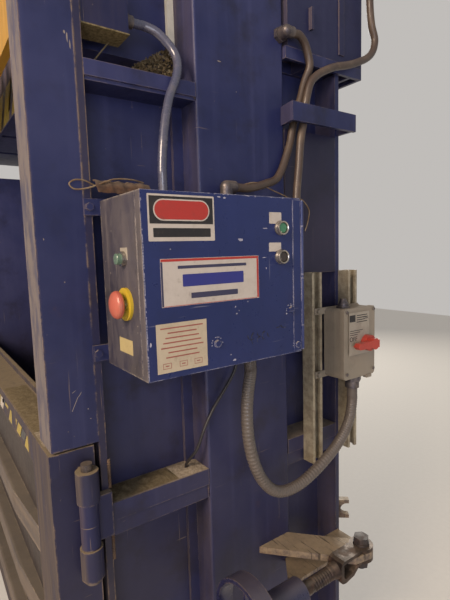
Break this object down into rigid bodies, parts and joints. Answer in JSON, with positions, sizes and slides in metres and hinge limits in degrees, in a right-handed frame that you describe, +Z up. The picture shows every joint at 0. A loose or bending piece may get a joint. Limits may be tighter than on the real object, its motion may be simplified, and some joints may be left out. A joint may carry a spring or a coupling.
{
  "type": "recycling baler",
  "caption": "Vertical baling press with side frames, ribbed chamber door, lifting gate, ram, power unit, control box, disconnect switch and swing-bolt door locks.",
  "frame": {"origin": "on the floor, under the middle of the frame", "axes": "+Z up; -Y is the feed side with the chamber door; +X is the side with the control box"},
  "size_m": [2.308, 1.11, 3.738],
  "materials": {
    "frame_paint": "worn dark blue enamel, dusty, scratched",
    "base_paint": "black enamel, scuffed",
    "chamber_steel": "bare steel, dirty and scratched",
    "door_paint": "dusty worn blue-grey enamel over steel",
    "gate_yellow": "worn yellow enamel",
    "cylinder_paint": "black enamel",
    "rod_chrome": "hard chrome",
    "shoe_plastic": "waxy plastic",
    "lock_steel": "worn grey-blue steel, rust at the welds",
    "pin_steel": "oiled steel",
    "screw_steel": "greased thread",
    "wheel_paint": "worn enamel",
    "box_paint": "light blue enamel, worn edges",
    "strap_paint": "enamel with rust",
    "hinge_steel": "painted steel, worn",
    "panel_zinc": "zinc plate",
    "bezel_metal": "satin metal",
    "green_plastic": "gloss",
    "black_plastic": "gloss",
    "lens_plastic": "dull green lens",
    "stop_plastic": "faded red",
    "fitting_zinc": "zinc, dirty",
    "strut_zinc": "galvanised",
    "case_paint": "light grey enamel",
    "lever_plastic": "red",
    "switch_box_paint": "enamel under thick dust",
    "tank_paint": "dark blue enamel",
    "power_grey": "grey enamel",
    "conduit_grey": "grey plastic jacket over a metal spiral",
    "conduit_silver": "grey jacket",
    "hose_brown": "brown-black jacket, dusty",
    "cable_black": "black jacket"
  },
  "bodies": {
    "frame": {"base_skids": "base_paint", "base_cross_members": "base_paint", "chamber_floor": "chamber_steel", "front_posts": "frame_paint", "mid_columns": "frame_paint", "rear_posts": "frame_paint", "side_members": "frame_paint", "side_skins": "frame_paint", "gate_columns": "frame_paint", "rear_cover": "frame_paint", "rear_wall": "frame_paint", "front_shroud": "frame_paint", "crown_beams": "frame_paint", "cylinder_barrel": "cylinder_paint", "frame_knuckles": "lock_steel", "hinge_pins": "pin_steel", "lock_brackets": "lock_steel", "lock_pins": "pin_steel", "guard_bar": "frame_paint", "box_straps": "strap_paint", "control_box": "box_paint", "box_hinge_pin": "hinge_steel", "box_panel": "panel_zinc", "side_bezels": "bezel_metal", "box_fittings": "fitting_zinc", "struts": "strut_zinc", "disconnect_case": "case_paint", "disconnect_cover": "case_paint", "limit_switch_box": "switch_box_paint", "tank_shelf": "frame_paint", "oil_tank": "tank_paint", "power_unit": "power_grey", "switch_conduit": "conduit_silver", "motor_hose": "hose_brown", "valve_hose": "hose_brown", "supply_conduit": "conduit_grey", "sensor_cable": "cable_black"},
    "door": {"door_frame": "door_paint", "door_outer_skin": "door_paint", "door_inner_skin": "chamber_steel", "door_ribs": "door_paint", "lock_keeper_front": "lock_steel"},
    "rear_door_leaf": {"rear_door": "frame_paint", "lock_keeper_rear": "lock_steel"},
    "gate": {"feed_gate": "gate_yellow", "gate_handle": "base_paint"},
    "ram": {"cylinder_rod": "rod_chrome", "platen": "frame_paint", "platen_shoes": "shoe_plastic"},
    "box_lid": {"control_box_door": "box_paint", "door_bezels": "bezel_metal"},
    "green_push": {"green_button": "green_plastic"},
    "black_push": {"black_button": "black_plastic"},
    "side_push": {"side_button": "lens_plastic"},
    "stop_push": {"stop_button": "stop_plastic"},
    "lever": {"disconnect_lever": "lever_plastic"},
    "lock_right": {"lock_screw_right": "screw_steel"},
    "lock_left": {"lock_screw_left": "screw_steel"},
    "wheel_right": {"hand_wheel_right": "wheel_paint"},
    "wheel_left": {"hand_wheel_left": "wheel_paint"}
  },
  "joints": [
    {"name": "chamber_door", "type": "hinge", "parent": "frame", "child": "door", "pos_m": [0.887, -0.392, 0.66], "axis": [0, 0, 1], "range_deg": [0, 120]},
    {"name": "rear_door", "type": "hinge", "parent": "frame", "child": "rear_door_leaf", "pos_m": [-0.83, 0.49, 0.57], "axis": [0, 0, 1], "range_deg": [0, 115]},
    {"name": "feed_gate", "type": "slide", "parent": "frame", "child": "gate", "axis": [0, 0, -1], "range_m": [0, 0.9]},
    {"name": "platen", "type": "slide", "parent": "frame", "child": "ram", "axis": [0, 0, -1], "range_m": [0, 1.25]},
    {"name": "control_box_door", "type": "hinge", "parent": "frame", "child": "box_lid", "pos_m": [1.074, 0.082, 1.512], "axis": [0, 0, 1], "range_deg": [0, 110]},
    {"name": "green_button", "type": "slide", "parent": "box_lid", "child": "green_push", "axis": [-1, 0, 0], "range_m": [0, 0.004], "stiffness_N_per_m": 400, "springref_m": -0.002},
    {"name": "black_button", "type": "slide", "parent": "box_lid", "child": "black_push", "axis": [-1, 0, 0], "range_m": [0, 0.004], "stiffness_N_per_m": 400, "springref_m": -0.002},
    {"name": "side_button", "type": "slide", "parent": "frame", "child": "side_push", "axis": [0, 1, 0], "range_m": [0, 0.004], "stiffness_N_per_m": 400, "springref_m": -0.002},
    {"name": "stop_button", "type": "slide", "parent": "frame", "child": "stop_push", "axis": [0, 1, 0], "range_m": [0, 0.004], "stiffness_N_per_m": 400, "springref_m": -0.002},
    {"name": "disconnect_lever", "type": "hinge", "parent": "frame", "child": "lever", "pos_m": [0.99, 0.435, 1.29], "axis": [1, 0, 0], "range_deg": [0, 90]},
    {"name": "lock_swing_right", "type": "hinge", "parent": "frame", "child": "lock_right", "pos_m": [1.042, 0.343, 0.69], "axis": [0, 0, 1], "range_deg": [0, 230]},
    {"name": "lock_swing_left", "type": "hinge", "parent": "frame", "child": "lock_left", "pos_m": [-1.042, -0.19, 0.69], "axis": [0, 0, 1], "range_deg": [0, 180]},
    {"name": "hand_wheel_right", "type": "hinge", "parent": "lock_right", "child": "wheel_right", "pos_m": [1.042, 0, 0.678], "axis": [0, 1, 0], "continuous": true},
    {"name": "hand_wheel_left", "type": "hinge", "parent": "lock_left", "child": "wheel_left", "pos_m": [-1.042, 0, 0.678], "axis": [0, 1, 0], "continuous": true}
  ]
}
